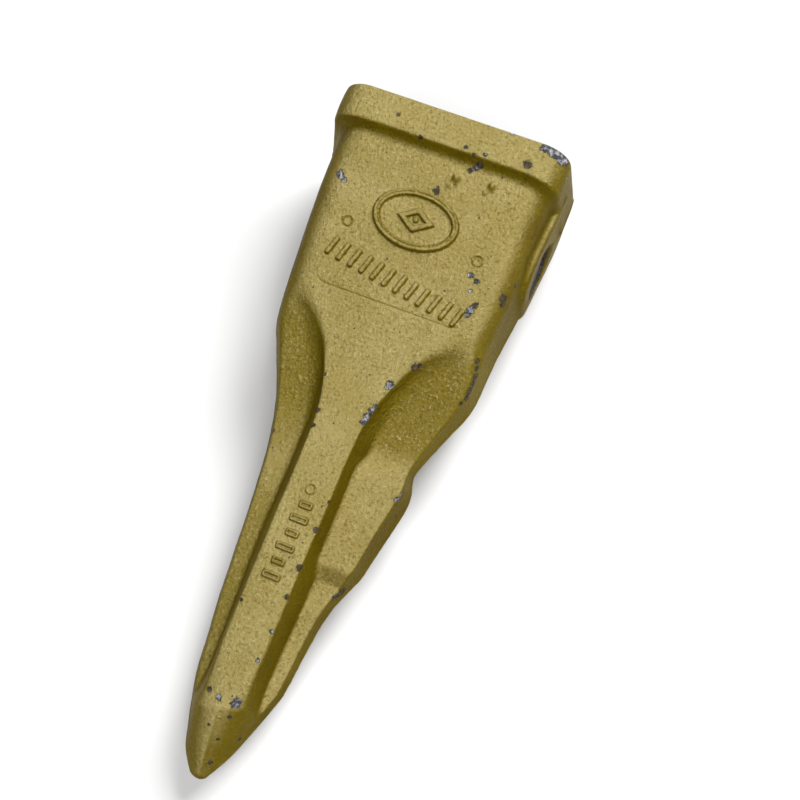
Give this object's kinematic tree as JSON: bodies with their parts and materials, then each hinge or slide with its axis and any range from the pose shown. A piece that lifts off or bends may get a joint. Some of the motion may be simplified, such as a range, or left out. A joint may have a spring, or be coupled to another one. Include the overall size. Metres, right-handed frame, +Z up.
{
  "type": "side-pin bucket tooth",
  "caption": "Long rock-digging tooth for an excavator bucket: a cast hollow tip with a central rib, held to its adapter by a side pin and a spring-ring retainer in rubber",
  "frame": {"origin": "on the floor under the middle of the bounding box", "axes": "+X from the mouth towards the tip, +Y to the side that carries the wing, +Z up; the tooth lies on its collar and on the rib's front corner, so its long axis points 5.7 degrees below +X"},
  "size_m": [0.3727, 0.139, 0.1148],
  "materials": {
    "cast_paint": "rough casting under one coat of olive-gold metallic paint",
    "pin_steel": "turned and heat treated, dark",
    "spring_steel": "phosphated spring steel",
    "rubber": "matt moulded rubber"
  },
  "bodies": {
    "tooth": {"tooth_tip": "cast_paint"},
    "retainer": {"retainer_ring": "spring_steel", "retainer_rubber": "rubber"},
    "pin": {"side_pin": "pin_steel"}
  },
  "joints": [
    {"name": "retainer_turn", "type": "hinge", "parent": "tooth", "child": "retainer", "pos_m": [-0.13207, 0, 0.05353], "axis": [0, 1, 0], "continuous": true},
    {"name": "pin_slide", "type": "slide", "parent": "retainer", "child": "pin", "axis": [0, 1, 0], "range_m": [0, 0.134], "deforming": ["retainer_ring"]}
  ]
}
